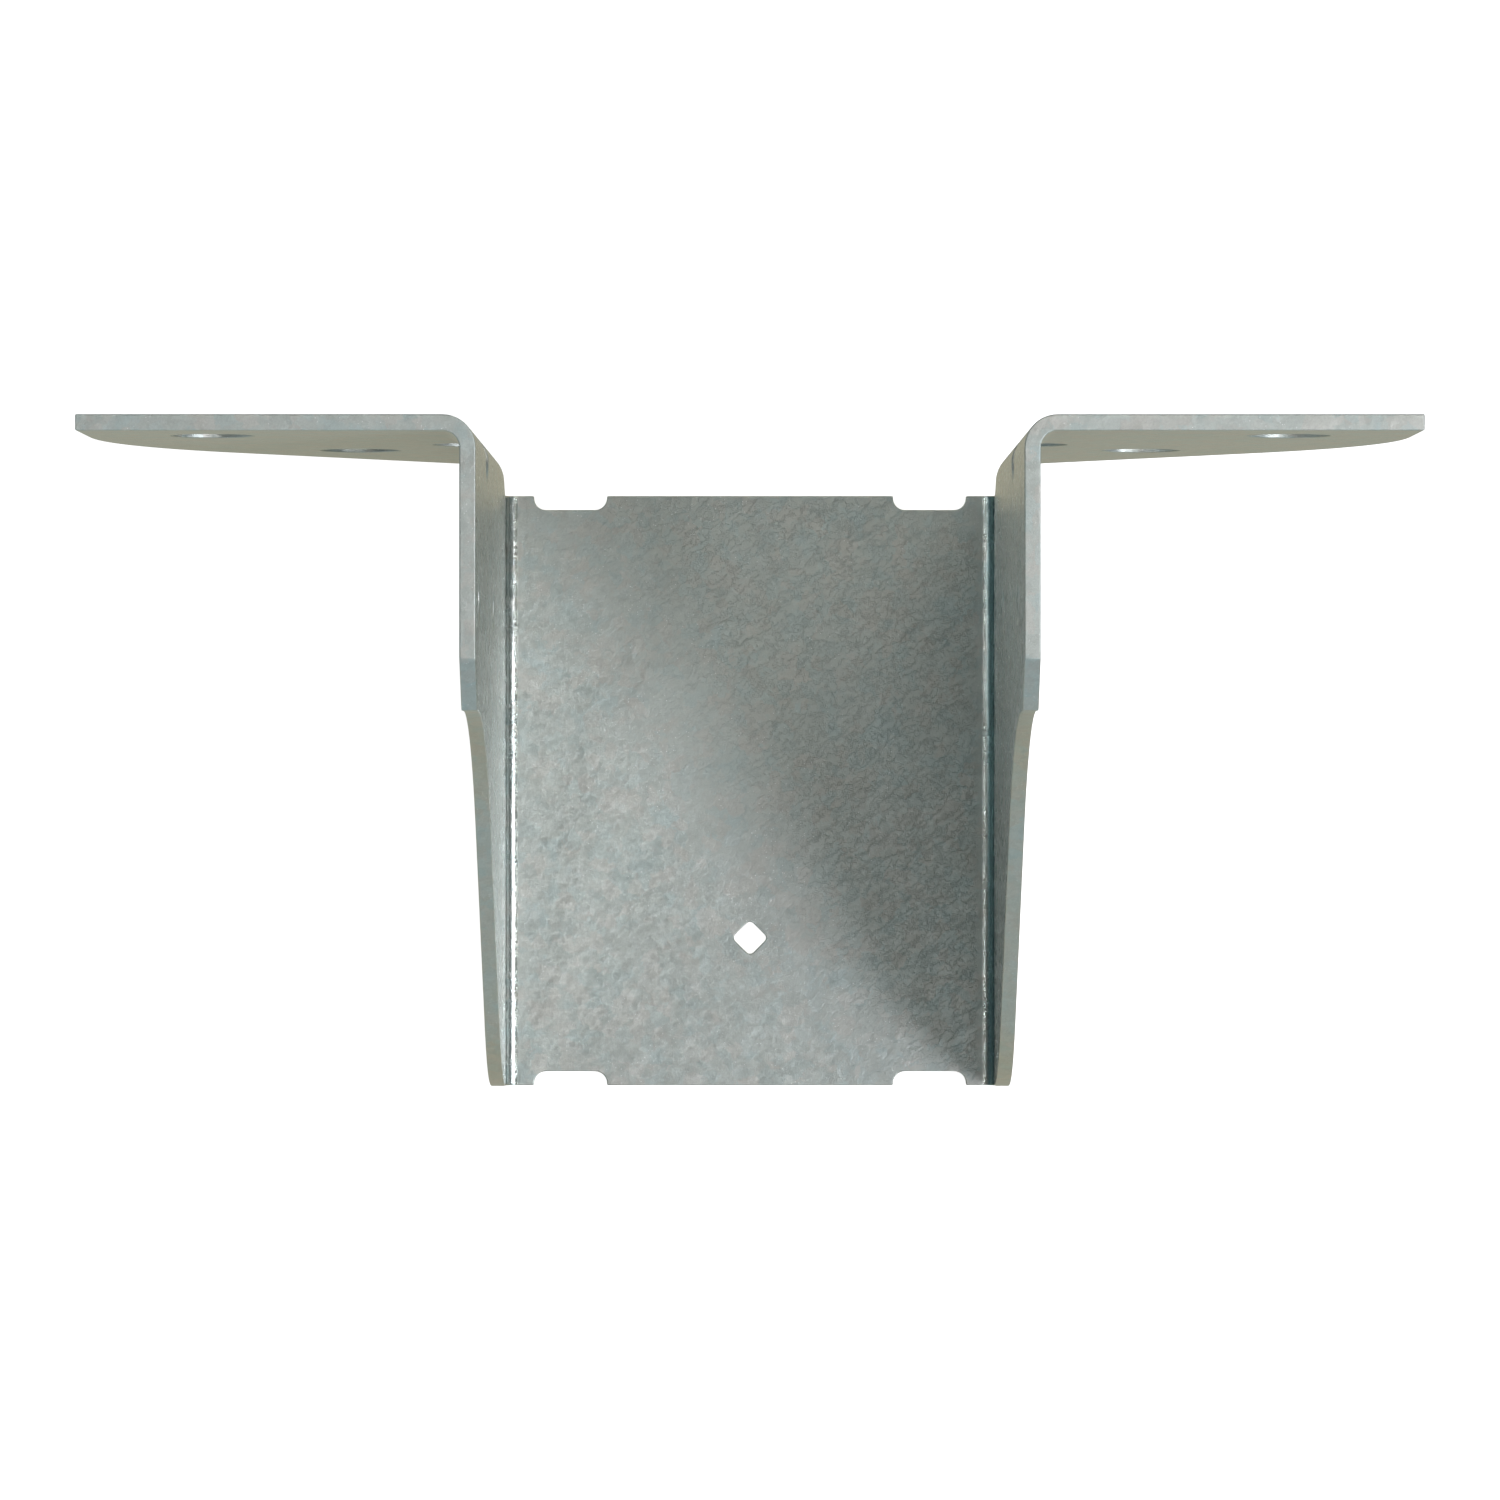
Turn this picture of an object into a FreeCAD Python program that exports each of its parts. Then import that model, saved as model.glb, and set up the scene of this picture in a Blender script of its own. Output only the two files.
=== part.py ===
import FreeCAD, Part
import math
import os

# A face-mount joist hanger, cut from one flat blank of galvanised sheet and folded. Millimetres.
# +X runs across the joist, +Y into the wall and +Z up. The joist comes in from -Y and lies on the
# seat, between two side plates. Each side plate turns outward into a flange, whose back lies on
# the wall. The origin is under the seat, midway between the side plates and midway in depth.

# Overall sizes
INSIDE_WIDTH = 84.1        # between the side plates: a doubled 38 mm joist and its play
HEIGHT = 138.1             # underside of the seat to the top edge
SEAT_DEPTH = 101.6         # front edge of the seat to its rear edge
WALL_GAP = 7.3             # rear edge of the seat to the wall
FLANGE_SPAN = 206.8        # outer edge to outer edge of the two flanges
SHEET = 2.5                # thickness of the sheet

# Folds: inside radii
SEAT_FOLD = 1.9
FLANGE_FOLD = 2.6

# Outline of the blank
SLOPE = math.radians(40.7)  # lean of both sloping edges from the vertical
SIDE_TOP_DEPTH = 45.4       # wall to the front of the side plate's upper, narrow part
CHAMFER = 7.9               # upper front corner of the side plate
WAIST_RADIUS = 78.0         # hollow curve from the narrow part into the slope
TOE_RADIUS = 46.0           # round curve from the slope down to the front of the seat
FLANGE_RADIUS = 82.0        # round curve from the flange's outer edge into its slope
CROTCH_HEIGHT = 8.3         # where the flange's slope, unfolded, meets the strap's rear edge
CROTCH_RADIUS = 8.0

# Round holes
ANCHOR_HOLE = 13.2         # diameter, for the anchors into the wall
UPPER_ANCHOR_SIDE = 19.6   # upper hole, in from the flange's outer edge
UPPER_ANCHOR_DROP = 18.8   # upper hole, down from the top edge
LOWER_ANCHOR_REACH = 18.9  # lower hole, out from the side plate's outer face
LOWER_ANCHOR_EDGE = 20.9   # lower hole, square to the sloping edge
FOLD_HOLE_DROP = 48.8      # hole on the fold, down from the top edge
SCREW_HOLE = 7.0           # diameter, for the screws into the joist
SCREW_SETBACK = 28.2       # wall to the screw holes
SCREW_SPACING = 62.7       # upper screw hole to lower one, on each side
SCREW_DROPS = {"left": 13.4, "right": 27.6}  # top edge to each side's upper screw hole

# Cut-outs in the seat
NOTCH_WIDTH = 12.6
NOTCH_DEPTH = 2.4
NOTCH_RADIUS = 2.1
NOTCH_GAP = 4.8            # side plate's inner face to the notch
DIAMOND_SIDE = 4.4
DIAMOND_RADIUS = 0.85
DIAMOND_SETBACK = 25.4     # front edge of the seat to the diamond's middle

# Places that follow
WALL = (SEAT_DEPTH + WALL_GAP) / 2
SEAT_FRONT = -WALL
SEAT_REAR = SEAT_FRONT + SEAT_DEPTH
INNER_FACE = INSIDE_WIDTH / 2
OUTER_FACE = INNER_FACE + SHEET
FLANGE_EDGE = FLANGE_SPAN / 2
SEAT_FOLD_X = INNER_FACE - SEAT_FOLD
SEAT_FOLD_Z = SHEET + SEAT_FOLD
FLANGE_FOLD_X = OUTER_FACE + FLANGE_FOLD
FLANGE_FOLD_Y = WALL - SHEET - FLANGE_FOLD
NEUTRAL_RADIUS = FLANGE_FOLD + SHEET / 2
FOLD_LENGTH = NEUTRAL_RADIUS * math.pi / 2
RISE = 1 / math.tan(SLOPE)

MARGIN = 1.0               # how far a cutting tool stands out of what it cuts
FOLD_SECTIONS = 9          # sections of a curved cut round a fold


def point(x, y, z):
    return FreeCAD.Vector(x, y, z)


def on_floor(x, y):
    return point(x, y, 0)


def on_side(y, z):
    return point(INNER_FACE, y, z)


def on_flange(x, z):
    return point(x, WALL, z)


def fitted(radius, turn, room):
    """The radius, or the largest one whose tangent point is still within `room` of the corner."""
    return min(radius, room / math.tan(turn / 2))


def outline(corners, place):
    """A closed face from (a, b, radius) corners, where a radius of 0 leaves the corner sharp."""
    spots = [place(a, b) for a, b, radius in corners]
    ends = []
    edges = []
    for index, (a, b, radius) in enumerate(corners):
        here = spots[index]
        before = (spots[index - 1] - here).normalize()
        after = (spots[(index + 1) % len(spots)] - here).normalize()
        if radius == 0:
            ends.append((here, here))
            continue
        half = before.getAngle(after) / 2
        reach = radius / math.tan(half)
        start = here + before * reach
        end = here + after * reach
        to_centre = (before + after).normalize()
        middle = here + to_centre * (radius / math.sin(half) - radius)
        edges.append(Part.Arc(start, middle, end).toShape())
        ends.append((start, end))
    for index, (start, end) in enumerate(ends):
        next_start = ends[(index + 1) % len(ends)][0]
        if end.distanceToPoint(next_start) > 1e-6:
            edges.append(Part.makeLine(end, next_start))
    return Part.Face(Part.Wire(Part.__sortEdges__(edges)))


def drill(diameter, centre, axis, depth):
    """A round drill through a sheet, standing out of both faces."""
    base = centre - axis * MARGIN
    return Part.makeCylinder(diameter / 2, depth + 2 * MARGIN, base, axis)


def fold(inside, centre, start, end, length):
    """A quarter of a tube about `centre`, from direction start to direction end."""
    middle = (start + end).normalize()
    outside = inside + SHEET
    outer = Part.Arc(centre + start * outside, centre + middle * outside, centre + end * outside)
    inner = Part.Arc(centre + end * inside, centre + middle * inside, centre + start * inside)
    first = Part.makeLine(centre + end * outside, centre + end * inside)
    last = Part.makeLine(centre + start * inside, centre + start * outside)
    wire = Part.Wire([outer.toShape(), first, inner.toShape(), last])
    return Part.Face(wire).extrude(length)


def slope_height(unfolded):
    """Height of the flange's lower edge, at a distance past the start of the fold, unfolded."""
    return CROTCH_HEIGHT + (unfolded + FLANGE_FOLD_Y - SEAT_REAR) * RISE


def round_fold(low, high):
    """A tool round the flange fold, between two heights given as functions of unfolded distance."""
    inside = FLANGE_FOLD - MARGIN
    outside = FLANGE_FOLD + SHEET + MARGIN
    wires = []
    for step in range(FOLD_SECTIONS):
        angle = math.pi / 2 * step / (FOLD_SECTIONS - 1)
        distance = NEUTRAL_RADIUS * angle
        outward = point(-math.cos(angle), math.sin(angle), 0)
        axis = point(FLANGE_FOLD_X, FLANGE_FOLD_Y, 0)
        near = axis + outward * inside
        far = axis + outward * outside
        bottom = point(0, 0, low(distance))
        top = point(0, 0, high(distance))
        corners = [near + bottom, far + bottom, far + top, near + top, near + bottom]
        wires.append(Part.makePolygon(corners))
    return Part.makeLoft(wires, True, False)


def make_seat():
    """The flat of the seat, with a notch near each corner and a diamond hole near the front."""
    width = 2 * SEAT_FOLD_X
    seat = Part.makeBox(width, SEAT_DEPTH, SHEET, point(-SEAT_FOLD_X, SEAT_FRONT, 0))
    tool_height = point(0, 0, SHEET + 2 * MARGIN)
    notch_near = INNER_FACE - NOTCH_GAP
    notch_far = notch_near - NOTCH_WIDTH
    for side in (-1, 1):
        for edge, inward in ((SEAT_FRONT, 1), (SEAT_REAR, -1)):
            depth = edge + inward * NOTCH_DEPTH
            outside = edge - inward * MARGIN
            corners = [(side * notch_near, outside, 0), (side * notch_near, depth, NOTCH_RADIUS),
                       (side * notch_far, depth, NOTCH_RADIUS), (side * notch_far, outside, 0)]
            notch = outline(corners, on_floor).extrude(tool_height)
            seat = seat.cut(notch.translated(point(0, 0, -MARGIN)))
    middle = SEAT_FRONT + DIAMOND_SETBACK
    half = DIAMOND_SIDE / math.sqrt(2)
    corners = [(half, middle, DIAMOND_RADIUS), (0, middle + half, DIAMOND_RADIUS),
               (-half, middle, DIAMOND_RADIUS), (0, middle - half, DIAMOND_RADIUS)]
    diamond = outline(corners, on_floor).extrude(tool_height)
    return seat.cut(diamond.translated(point(0, 0, -MARGIN)))


def make_seat_fold():
    """The right-hand fold between the seat and its side plate."""
    centre = point(SEAT_FOLD_X, SEAT_FRONT, SEAT_FOLD_Z)
    return fold(SEAT_FOLD, centre, point(0, 0, -1), point(1, 0, 0), point(0, SEAT_DEPTH, 0))


def make_side_plate():
    """The flat of the right-hand side plate, from the seat fold to the flange fold."""
    narrow_front = WALL - SIDE_TOP_DEPTH
    chamfer_foot = HEIGHT - CHAMFER
    toe_radius = fitted(TOE_RADIUS, SLOPE, (HEIGHT - SEAT_FOLD_Z) / 2)
    toe = SEAT_FOLD_Z + toe_radius * math.tan(SLOPE / 2)
    waist = toe + (narrow_front - SEAT_FRONT) * RISE
    crotch_room = min(CROTCH_HEIGHT - SEAT_FOLD_Z, (FLANGE_FOLD_Y - SEAT_REAR) / math.sin(SLOPE))
    corners = [
        (SEAT_FRONT, SEAT_FOLD_Z, 0),
        (SEAT_FRONT, toe, toe_radius),
        (narrow_front, waist, fitted(WAIST_RADIUS, SLOPE, chamfer_foot - waist)),
        (narrow_front, chamfer_foot, 0),
        (narrow_front + CHAMFER, HEIGHT, 0),
        (FLANGE_FOLD_Y, HEIGHT, 0),
        (FLANGE_FOLD_Y, slope_height(0), 0),
        (SEAT_REAR, CROTCH_HEIGHT, fitted(CROTCH_RADIUS, SLOPE, crotch_room)),
        (SEAT_REAR, SEAT_FOLD_Z, 0),
    ]
    return outline(corners, on_side).extrude(point(SHEET, 0, 0))


def make_flange():
    """The flat of the right-hand flange, with its two anchor holes."""
    corner_height = slope_height(FOLD_LENGTH + FLANGE_EDGE - FLANGE_FOLD_X)
    corners = [
        (FLANGE_FOLD_X, slope_height(FOLD_LENGTH), 0),
        (FLANGE_EDGE, corner_height, fitted(FLANGE_RADIUS, SLOPE, HEIGHT - corner_height)),
        (FLANGE_EDGE, HEIGHT, 0),
        (FLANGE_FOLD_X, HEIGHT, 0),
    ]
    flange = outline(corners, on_flange).extrude(point(0, -SHEET, 0))
    lower_x = OUTER_FACE + LOWER_ANCHOR_REACH
    lower_z = slope_height(FOLD_LENGTH + lower_x - FLANGE_FOLD_X) + LOWER_ANCHOR_EDGE / math.sin(SLOPE)
    upper_x = FLANGE_EDGE - UPPER_ANCHOR_SIDE
    upper_z = HEIGHT - UPPER_ANCHOR_DROP
    for x, z in ((lower_x, lower_z), (upper_x, upper_z)):
        print("anchor hole at x %.2f, z %.2f" % (x, z))
        flange = flange.cut(drill(ANCHOR_HOLE, point(x, WALL - SHEET, z), point(0, 1, 0), SHEET))
    return flange


def make_flange_fold():
    """The right-hand fold between side plate and flange, cut off by the flange's slope."""
    centre = point(FLANGE_FOLD_X, FLANGE_FOLD_Y, 0)
    whole = fold(FLANGE_FOLD, centre, point(-1, 0, 0), point(0, 1, 0), point(0, 0, HEIGHT))
    return whole.common(round_fold(slope_height, lambda distance: HEIGHT + MARGIN))


def fold_hole_tools():
    """The hole that was punched in the flat blank across the flange fold, as it lies once folded."""
    radius = ANCHOR_HOLE / 2
    height = HEIGHT - FOLD_HOLE_DROP
    middle = FOLD_LENGTH / 2

    def half_height(distance):
        return math.sqrt(radius ** 2 - (distance - middle) ** 2)

    in_side = point(INNER_FACE, FLANGE_FOLD_Y + middle, height)
    in_flange = point(FLANGE_FOLD_X - middle, WALL - SHEET, height)
    side_tool = drill(ANCHOR_HOLE, in_side, point(1, 0, 0), SHEET)
    flange_tool = drill(ANCHOR_HOLE, in_flange, point(0, 1, 0), SHEET)
    fold_tool = round_fold(lambda distance: height - half_height(distance),
                           lambda distance: height + half_height(distance))
    return side_tool, fold_tool, flange_tool


def make_half():
    """Everything right of the seat's flat: seat fold, side plate, flange fold and flange."""
    side_tool, fold_tool, flange_tool = fold_hole_tools()
    pieces = [make_seat_fold(), make_side_plate().cut(side_tool),
              make_flange_fold().cut(fold_tool), make_flange().cut(flange_tool)]
    return pieces[0].multiFuse(pieces[1:])


def screw_holes():
    """Drills for the joist's screws, higher on the left than on the right so that they don't meet."""
    y = WALL - SCREW_SETBACK
    tools = []
    for side, first_x in (("left", -OUTER_FACE), ("right", INNER_FACE)):
        upper = HEIGHT - SCREW_DROPS[side]
        for z in (upper, upper - SCREW_SPACING):
            tools.append(drill(SCREW_HOLE, point(first_x, y, z), point(1, 0, 0), SHEET))
    return tools


def make_hanger():
    right = make_half()
    left = right.mirror(point(0, 0, 0), point(1, 0, 0))
    hanger = make_seat().multiFuse([right, left]).removeSplitter()
    for tool in screw_holes():
        hanger = hanger.cut(tool)
    return hanger


os.makedirs("parts", exist_ok=True)
body = make_hanger()
print("solids %d, valid %s, volume %.0f" % (len(body.Solids), body.isValid(), body.Volume))
body.exportStep("parts/hanger_body.step")
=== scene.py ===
import math

import bpy
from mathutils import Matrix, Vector


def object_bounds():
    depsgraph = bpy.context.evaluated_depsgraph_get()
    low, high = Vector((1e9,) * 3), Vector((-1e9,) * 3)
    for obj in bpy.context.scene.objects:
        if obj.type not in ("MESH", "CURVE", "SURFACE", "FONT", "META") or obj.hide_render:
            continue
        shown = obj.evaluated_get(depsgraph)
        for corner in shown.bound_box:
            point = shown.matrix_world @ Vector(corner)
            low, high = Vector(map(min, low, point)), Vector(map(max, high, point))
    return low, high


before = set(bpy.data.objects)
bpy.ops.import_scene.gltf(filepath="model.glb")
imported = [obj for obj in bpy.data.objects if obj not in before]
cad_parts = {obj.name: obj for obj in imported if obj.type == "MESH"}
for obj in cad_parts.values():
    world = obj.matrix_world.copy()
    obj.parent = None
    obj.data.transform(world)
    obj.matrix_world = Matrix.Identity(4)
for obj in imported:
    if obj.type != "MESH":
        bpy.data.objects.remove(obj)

# Metres, in the CAD frame: +X across the joist, +Y into the wall, +Z up, with the seat's
# underside at z = 0.
cad_low, cad_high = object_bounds()
HEIGHT = cad_high.z
MM = 0.001

# ---------------------------------------------------------------- node trees

MEAN_COLOUR = (0.5, 0.5, 0.5)       # of the random colours that noise and cells give
NO_TURN = (0, 0, 0)


class Nodes:
    """Short calls for building the nodes of a material or of the world."""

    def __init__(self, owner):
        owner.use_nodes = True
        self.tree = owner.node_tree
        self.nodes = self.tree.nodes

    def put(self, socket, value):
        if isinstance(value, bpy.types.NodeSocket):
            self.tree.links.new(value, socket)
        else:
            socket.default_value = value

    def make(self, kind, values, **settings):
        node = self.nodes.new("ShaderNode" + kind)
        for name, value in settings.items():
            setattr(node, name, value)
        for name, value in values.items():
            self.put(node.inputs[name], value)
        return node

    def math(self, operation, first, second=0.0, third=0.0):
        values = {0: first, 1: second, 2: third}
        return self.make("Math", values, operation=operation).outputs[0]

    def add_times(self, start, value, factor):
        """`start` plus `value` times `factor`."""
        return self.math("MULTIPLY_ADD", value, factor, start)

    def vector(self, operation, first, second=(0, 0, 0)):
        return self.make("VectorMath", {0: first, 1: second}, operation=operation).outputs[0]

    def scaled(self, first, factor):
        node = self.make("VectorMath", {0: first}, operation="SCALE")
        self.put(node.inputs["Scale"], factor)
        return node.outputs[0]

    def pushed(self, start, random_colour, amount):
        """`start` moved at random, along each axis by up to half of `amount` either way."""
        push = self.scaled(self.vector("SUBTRACT", random_colour, MEAN_COLOUR), amount)
        return self.vector("ADD", start, push)

    def split(self, value):
        """The three numbers in a vector or a colour."""
        return self.make("SeparateXYZ", {0: value}).outputs

    def ramp(self, value, low, high, to_low=0.0, to_high=1.0):
        """`value` taken smoothly from low..high to to_low..to_high."""
        values = {"Value": value, "From Min": low, "From Max": high,
                  "To Min": to_low, "To Max": to_high}
        return self.make("MapRange", values, interpolation_type="SMOOTHSTEP").outputs[0]

    def noise(self, place, scale, detail, roughness, distortion=0.0):
        values = {"Vector": place, "Scale": scale, "Detail": detail, "Roughness": roughness,
                  "Distortion": distortion}
        return self.make("TexNoise", values).outputs

    def cells(self, place, scale):
        return self.make("TexVoronoi", {"Vector": place, "Scale": scale}).outputs

    def drawn_out(self, place, turn, size):
        """Places for a pattern that is turned by `turn` and is `size` as large along each axis."""
        values = {"Vector": place, "Rotation": turn, "Scale": size}
        return self.make("Mapping", values, vector_type="TEXTURE").outputs[0]

    def blend(self, factor, first, second):
        return self.make("MixRGB", {"Fac": factor, "Color1": first, "Color2": second}).outputs[0]


# ---------------------------------------------------------------- camera, lights and stage

CAMERA_ABOVE_TOP = 1.0788           # metres, over the hanger's top edges
LENS = 169.03                       # millimetres, and so is the sensor
SENSOR = 36
CAMERA_SHIFT = 0.013                # share of the picture's width

LIGHT_TARGET = Vector((0, 0, 0.03))     # every light faces this point, inside the hanger

FLOOR_SIZE = 8.0
FLOOR_GAP = 0.0002                  # below the seat's underside
FLOOR_WHITE = 0.9                   # glow that keeps the floor white to the camera
FLOOR_PAINT = (0.8, 0.8, 0.8, 1)
FLOOR_BEIGE = (0.46, 0.44, 0.345, 1)    # the floor as the steel reflects it, near by
FLOOR_BLUE = (0.40, 0.48, 0.50, 1)      # and far off
BEIGE_REACH = 0.12                  # metres from the hanger's middle
BLUE_REACH = 0.5

WHITE = (1, 1, 1, 1)
ROOM_SIDES = (0.16, 0.20, 0.22, 1)
ROOM_FRONT = (0.50, 0.60, 0.64, 1)
ROOM_ABOVE = (0.079, 0.084, 0.074, 1)


def make_camera():
    """A long lens that looks straight down, with the wall at the top of the picture."""
    data = bpy.data.cameras.new("camera")
    data.lens = LENS
    data.sensor_width = SENSOR
    data.shift_y = CAMERA_SHIFT
    camera = bpy.data.objects.new("camera", data)
    camera.location = (0, 0, HEIGHT + CAMERA_ABOVE_TOP)
    bpy.context.scene.collection.objects.link(camera)
    bpy.context.scene.camera = camera


def area_light(name, place, size, power, colour):
    """A round soft light at `place` that the camera doesn't see."""
    data = bpy.data.lights.new(name, "AREA")
    data.shape = "DISK"
    data.size = size
    data.energy = power
    data.color = colour
    light = bpy.data.objects.new(name, data)
    light.location = place
    towards = LIGHT_TARGET - Vector(place)
    light.rotation_euler = towards.to_track_quat("-Z", "Y").to_euler()
    light.visible_camera = False
    bpy.context.scene.collection.objects.link(light)


def make_lights():
    """A key at the right with a soft halo, a small fill at the left, and dim rear and front."""
    area_light("key", (1.34, -0.50, 1.74), 0.70, 18.5, (0.91, 0.935, 1.0))
    area_light("key_halo", (1.60, -0.36, 1.78), 1.4, 7, (0.93, 0.95, 1.0))
    area_light("fill", (-0.50, -0.12, 2.09), 0.15, 0.9, (0.93, 0.98, 1.0))
    area_light("rear", (0.65, 1.20, 2.24), 1.2, 10, (1.0, 0.97, 0.88))
    area_light("front", (0.35, -1.05, 2.32), 1.0, 4, (0.97, 0.98, 1.0))


def reflected_floor(n):
    """The floor as the steel sees it: beige round the hanger, fading to blue further off."""
    place = n.make("TexCoord", {}).outputs["Object"]
    away = n.make("VectorMath", {0: place}, operation="LENGTH").outputs["Value"]
    tint = n.make("ValToRGB", {0: away})
    near, far = tint.color_ramp.elements
    near.position = BEIGE_REACH
    near.color = FLOOR_BEIGE
    far.position = BLUE_REACH
    far.color = FLOOR_BLUE
    return n.make("Emission", {"Color": tint.outputs[0]}).outputs[0]


def make_floor():
    """A plain floor just under the seat, white to the camera."""
    bpy.ops.mesh.primitive_plane_add(size=FLOOR_SIZE, location=(0, 0, -FLOOR_GAP))
    floor = bpy.context.object
    floor.name = "floor"
    material = bpy.data.materials.new("floor")
    n = Nodes(material)
    n.nodes.clear()
    glow = n.make("Emission", {"Strength": FLOOR_WHITE}).outputs[0]
    paint = n.make("BsdfDiffuse", {"Color": FLOOR_PAINT}).outputs[0]
    white = n.make("AddShader", {0: glow, 1: paint}).outputs[0]
    seen = n.make("LightPath", {}).outputs["Is Camera Ray"]
    both = n.make("MixShader", {0: seen, 1: reflected_floor(n), 2: white}).outputs[0]
    n.make("OutputMaterial", {"Surface": both})
    floor.data.materials.append(material)


def make_world():
    """White to the camera; for reflections a dim room, darkest above and brightest in front."""
    world = bpy.data.worlds.new("studio")
    n = Nodes(world)
    way = n.split(n.make("TexCoord", {}).outputs["Generated"])
    ahead = n.ramp(way[1], -0.1, -0.8)
    upwards = n.ramp(way[2], 0.0, 0.85)
    room = n.blend(upwards, n.blend(ahead, ROOM_SIDES, ROOM_FRONT), ROOM_ABOVE)
    seen = n.make("LightPath", {}).outputs["Is Camera Ray"]
    n.put(n.nodes["Background"].inputs["Color"], n.blend(seen, room, WHITE))
    bpy.context.scene.world = world


# ---------------------------------------------------------------- galvanised steel

# The folded sheet, in millimetres. FOLD_START and FOLD_TOP are where the seat's inside
# folds meet its flat top and the side plates' inner faces.
SHEET = 2.5
SEAT_FOLD = 1.9
INNER_FACE = 42.05
FOLD_START = INNER_FACE - SEAT_FOLD
FOLD_TOP = SHEET + SEAT_FOLD
TOP = HEIGHT / MM

# Colours of the zinc
GREY = (0.60, 0.632, 0.606, 1)
PINK = (0.624, 0.622, 0.590, 1)
TEAL = (0.568, 0.634, 0.622, 1)
# Painted shade: the dark teal laid up the right-hand fold
PAINTED_SHADE_TEAL = (0.20, 0.31, 0.32, 1)
SPECK = (0.97, 0.98, 0.98, 1)

# Patterns: how many cells or waves there are to the millimetre
RAGGED_WAVES = 0.8
SMALL_FLAKES = 0.95
LARGE_FLAKES = 0.42
DRIFT_WAVES = 0.20
MOTTLE_WAVES = 2.6
GRAIN_WAVES = 2.8
SPECK_CELLS = 3.2
CLUSTER_WAVES = 0.14

# Patterns longer one way than another: turn in radians, size in millimetres
STREAK_TURN = (0.3, -0.5, 0.9)
STREAK_SIZE = (1.2, 0.28, 0.28)
RIDGE_TURN = (0.2, -0.4, 0.65)
RIDGE_SIZE = (5.0, 1.4, 1.4)
NICK_SIZE = (1.25, 0.3125, 1.25)

RAGGED = 2.2                # millimetres that the flakes' edges wander over
STREAK_SHIFT = 9.0          # millimetres that the streaks jump over from flake to flake
SMALL_TILT = 0.06           # lean of the flakes' normals, from one side to the other
LARGE_TILT = 0.04

# Brightness: its base, what each pattern adds at most, and the middle of them all
BASE_LIGHT = 0.70
FLAKE_LIGHT = 0.07
STREAK_LIGHT = 0.20
MOTTLE_LIGHT = 0.32
TOP_EDGE_LIGHT = 0.08
MEAN_LIGHT = 0.99
CREPE_CALM = 0.45           # share of this contrast that the crepe hasn't
# Partly a rubbed line, partly a painted highlight along each fold's start
RUB_AND_HIGHLIGHT_GAIN = 0.45          # share by which the rubbed lines are brighter

# Roughness: that of the smoothest flakes, and what each place adds or takes off
ROUGHNESS = 0.37
FLAKE_ROUGH = 0.10
TOP_EDGE_ROUGH = 0.18
FOLD_SMOOTH = 0.19
WALL_SMOOTH = 0.14

# Relief: its height where the pattern is 1, and the share of each pattern in it
RELIEF = 0.22 * MM
RIDGE_RELIEF = 0.55
CREASE_RELIEF = -0.22
CREASE_WIDTH = 0.04
MEAN_RIDGE = 0.23
MEAN_NICK = 0.5
PLAIN_RIDGES = 0.18         # share of the ridges on the whole sheet
CREPE_RIDGES = 0.46         # and what the crepe adds to it
GRAIN_RELIEF = 0.10
NICK_RELIEF = 0.08


class Zones:
    """Masks from 0 to 1 for the parts of the sheet that look different from the rest."""

    def __init__(self, n, mm, surface):
        across, along, height = n.split(mm)
        out = n.math("ABSOLUTE", across)
        sideways = n.math("ABSOLUTE", n.split(surface)[0])
        low = n.ramp(height, FOLD_TOP + 0.2, FOLD_TOP - 0.2)

        # The side plates' faces, the sheared top edges, and the two seat folds
        self.wall = n.ramp(sideways, 0.85, 0.97)
        self.top_edge = n.ramp(height, TOP - 0.5, TOP - 0.2)
        self.fold = n.math("MULTIPLY", n.ramp(out, FOLD_START - 0.25, FOLD_START + 0.05), low)

        # A line along the start of each fold, rubbed and brighter, which paints in the folds'
        # highlights, and painted shade: a dark teal band up the right-hand fold only
        start = n.ramp(out, FOLD_START + 0.95, FOLD_START + 0.45)
        self.rubbed_line_and_highlight = n.math("MULTIPLY", self.fold, start)
        # Painted shade, on the right-hand fold only, from just past its start to the side plate
        begins = n.ramp(across, FOLD_START + 0.45, FOLD_START + 1.15)
        ends = n.ramp(across, INNER_FACE + 0.45, INNER_FACE + 0.15)
        self.painted_shade = n.math("MULTIPLY", n.math("MULTIPLY", begins, ends), low)

        # The crepe-like part of the seat, which fades out towards its front left corner
        level = n.ramp(height, SHEET + 0.7, SHEET + 0.1)
        inside = n.ramp(out, FOLD_START - 0.35, FOLD_START - 1.35)
        slant = n.add_times(across, along, 0.6)
        seat = n.math("MULTIPLY", level, inside)
        self.crepe = n.math("MULTIPLY", seat, n.ramp(slant, -36.0, 16.0))


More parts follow.
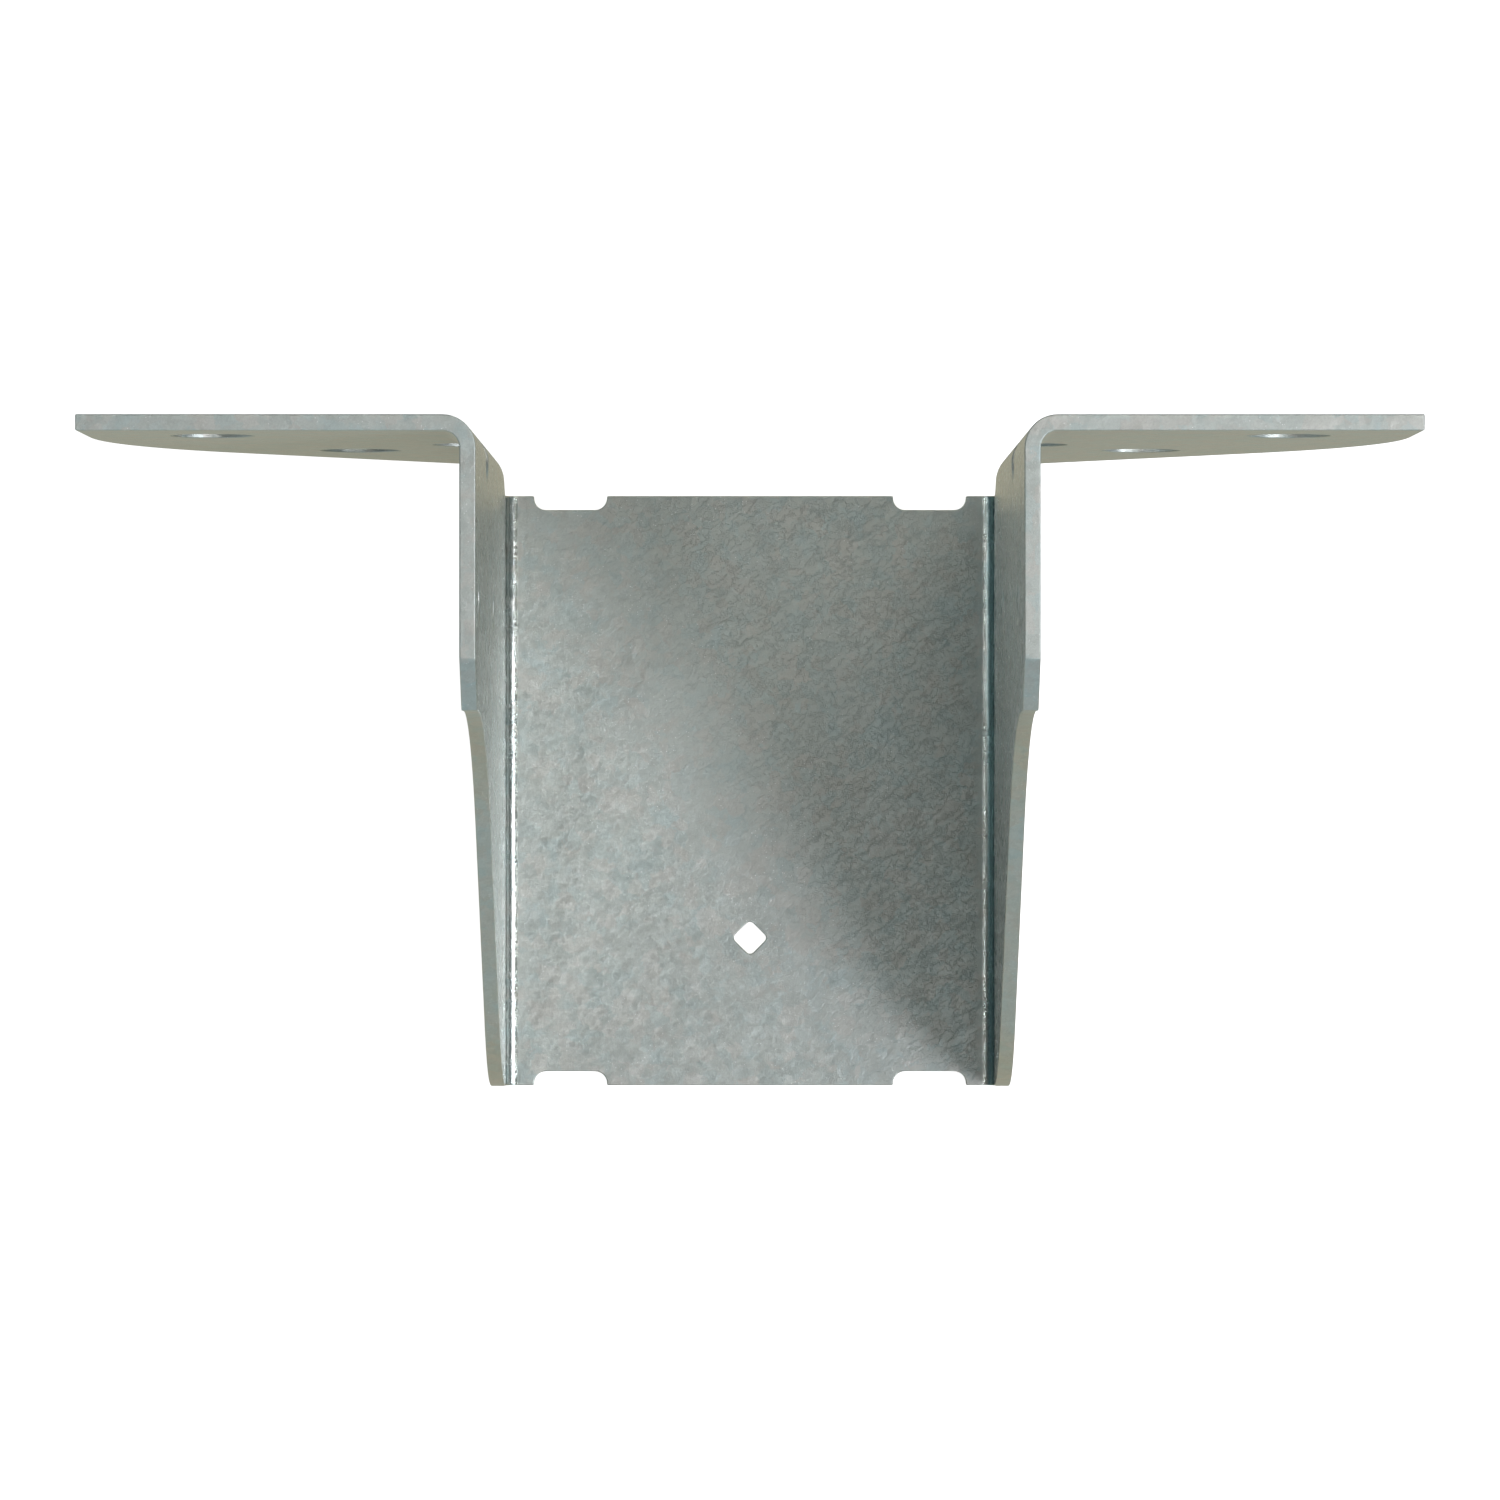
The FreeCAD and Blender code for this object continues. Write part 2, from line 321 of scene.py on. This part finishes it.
def zinc_colour(n, mm, torn, small, large, zone):
    """Grey-green zinc that drifts to pink-brown and to teal, streaked and mottled, with a painted
    highlight along each fold's start and painted shade up the right-hand fold.
    """
    drift = n.noise(torn, DRIFT_WAVES, 3.0, 0.6)["Fac"]
    patch = n.split(large)
    colour = n.blend(n.ramp(drift, 0.52, 0.68), GREY, PINK)
    colour = n.blend(n.ramp(drift, 0.46, 0.32), colour, TEAL)
    colour = n.blend(n.ramp(patch[0], 0.70, 0.80, 0.0, 0.7), colour, PINK)
    colour = n.blend(n.ramp(patch[1], 0.75, 0.85, 0.0, 0.6), colour, TEAL)

    streaked = n.vector("ADD", mm, n.scaled(small, STREAK_SHIFT))
    streak_place = n.drawn_out(streaked, STREAK_TURN, STREAK_SIZE)
    streak = n.noise(streak_place, 1.0, 3.0, 0.6)["Fac"]
    mottle = n.noise(mm, MOTTLE_WAVES, 5.0, 0.78)["Fac"]
    light = n.add_times(BASE_LIGHT, n.split(small)[2], FLAKE_LIGHT)
    light = n.add_times(light, streak, STREAK_LIGHT)
    light = n.add_times(light, mottle, MOTTLE_LIGHT)
    light = n.add_times(light, zone.top_edge, TOP_EDGE_LIGHT)

    # The crepe shows less of this contrast, and the rubbed lines along the folds' starts are
    # brighter, which paints in the folds' highlights
    contrast = n.add_times(1.0, zone.crepe, -CREPE_CALM)
    light = n.add_times(MEAN_LIGHT, n.math("SUBTRACT", light, MEAN_LIGHT), contrast)
    light = n.math("MULTIPLY", light, n.add_times(1.0, zone.rubbed_line_and_highlight, RUB_AND_HIGHLIGHT_GAIN))
    # Painted shade: the right-hand fold's colour turned to dark teal
    return n.blend(zone.painted_shade, n.scaled(colour, light), PAINTED_SHADE_TEAL)


def zinc_specks(n, mm):
    """A mask of small bright flakes in loose clusters."""
    grains = n.cells(mm, SPECK_CELLS)
    chance = n.split(grains["Color"])[0]
    cluster = n.noise(mm, CLUSTER_WAVES, 3.0, 0.65)["Fac"]
    chosen = n.math("MULTIPLY", n.ramp(chance, 0.87, 0.90), n.ramp(cluster, 0.48, 0.58))
    return n.math("MULTIPLY", chosen, n.ramp(grains["Distance"], 0.34, 0.14))


def zinc_roughness(n, small, zone):
    """Flakes differ a little, top edges are duller, and folds and side plates are smoother."""
    rough = n.add_times(ROUGHNESS, n.split(small)[1], FLAKE_ROUGH)
    rough = n.add_times(rough, zone.top_edge, TOP_EDGE_ROUGH)
    in_fold = n.math("MULTIPLY", zone.fold, FOLD_SMOOTH)
    on_wall = n.math("MULTIPLY", zone.wall, WALL_SMOOTH)
    return n.math("SUBTRACT", rough, n.math("MAXIMUM", in_fold, on_wall))


def zinc_relief(n, mm, torn, tilted, zone):
    """A fine grain, crepe-like ridges and creases on the seat, and nicks across its folds."""
    ridge_place = n.drawn_out(torn, RIDGE_TURN, RIDGE_SIZE)
    ridge = n.noise(ridge_place, 1.0, 4.0, 0.6, 1.0)["Fac"]
    from_middle = n.math("ABSOLUTE", n.math("SUBTRACT", ridge, 0.5))
    crease = n.ramp(from_middle, 0.0, CREASE_WIDTH, 1.0, 0.0)
    ridge = n.add_times(n.math("MULTIPLY", ridge, RIDGE_RELIEF), crease, CREASE_RELIEF)
    grain = n.noise(mm, GRAIN_WAVES, 3.0, 0.65)["Fac"]
    nick = n.noise(n.drawn_out(mm, NO_TURN, NICK_SIZE), 1.0, 4.0, 0.7)["Fac"]

    # Ridges and nicks go up and down evenly, so that their fading makes no slope of its own
    ridge = n.math("SUBTRACT", ridge, MEAN_RIDGE)
    nick = n.math("SUBTRACT", nick, MEAN_NICK)
    height = n.math("MULTIPLY", ridge, n.add_times(PLAIN_RIDGES, zone.crepe, CREPE_RIDGES))
    height = n.add_times(height, grain, GRAIN_RELIEF)
    height = n.add_times(height, nick, n.math("MULTIPLY", zone.fold, NICK_RELIEF))
    values = {"Height": height, "Normal": tilted, "Distance": RELIEF, "Strength": 1.0}
    return n.make("Bump", values).outputs[0]


def make_steel():
    """Zinc flakes of two sizes, each with a brightness and a slight tilt of its own."""
    material = bpy.data.materials.new("galvanised_steel")
    n = Nodes(material)
    mm = n.scaled(n.make("TexCoord", {}).outputs["Object"], 1 / MM)
    surface = n.make("NewGeometry", {}).outputs["Normal"]
    zone = Zones(n, mm, surface)

    # `torn` is the same places pushed about, so that no flake has straight edges
    torn = n.pushed(mm, n.noise(mm, RAGGED_WAVES, 3.0, 0.65)["Color"], RAGGED)
    small = n.cells(torn, SMALL_FLAKES)["Color"]
    large = n.cells(torn, LARGE_FLAKES)["Color"]
    tilted = n.pushed(n.pushed(surface, small, SMALL_TILT), large, LARGE_TILT)
    tilted = n.vector("NORMALIZE", tilted)

    colour = zinc_colour(n, mm, torn, small, large, zone)
    shader = n.nodes["Principled BSDF"]
    n.put(shader.inputs["Metallic"], 1.0)
    n.put(shader.inputs["Base Color"], n.blend(zinc_specks(n, mm), colour, SPECK))
    n.put(shader.inputs["Roughness"], zinc_roughness(n, small, zone))
    n.put(shader.inputs["Normal"], zinc_relief(n, mm, torn, tilted, zone))
    return material


# ---------------------------------------------------------------- the hanger

SAME_POINT = 0.002 * MM             # corners nearer than this are one corner
FLAT = math.radians(0.3)            # faces that turn less than this are one flat
EDGE_ROUNDING = 0.22 * MM
EDGE_STEPS = 3                      # faces across a rounding
SHARP = math.radians(35)            # edges that turn more than this are rounded
FLATS_LEAD = 100                    # weight that keeps the flats' shading flat


def dress_hanger():
    """The CAD node as it is, with its cut edges a little rounded, in galvanised steel."""
    body = bpy.data.objects["hanger_body"]
    weld = body.modifiers.new("join", "WELD")
    weld.merge_threshold = SAME_POINT
    flats = body.modifiers.new("whole_flats", "DECIMATE")
    flats.decimate_type = "DISSOLVE"
    flats.angle_limit = FLAT
    edges = body.modifiers.new("rounded_edges", "BEVEL")
    edges.width = EDGE_ROUNDING
    edges.segments = EDGE_STEPS
    edges.limit_method = "ANGLE"
    edges.angle_limit = SHARP
    edges.use_clamp_overlap = False
    even = body.modifiers.new("even_normals", "WEIGHTED_NORMAL")
    even.weight = FLATS_LEAD
    body.data.materials.clear()
    body.data.materials.append(make_steel())


make_camera()
make_lights()
make_floor()
make_world()
dress_hanger()
bpy.context.scene.view_settings.view_transform = "Standard"
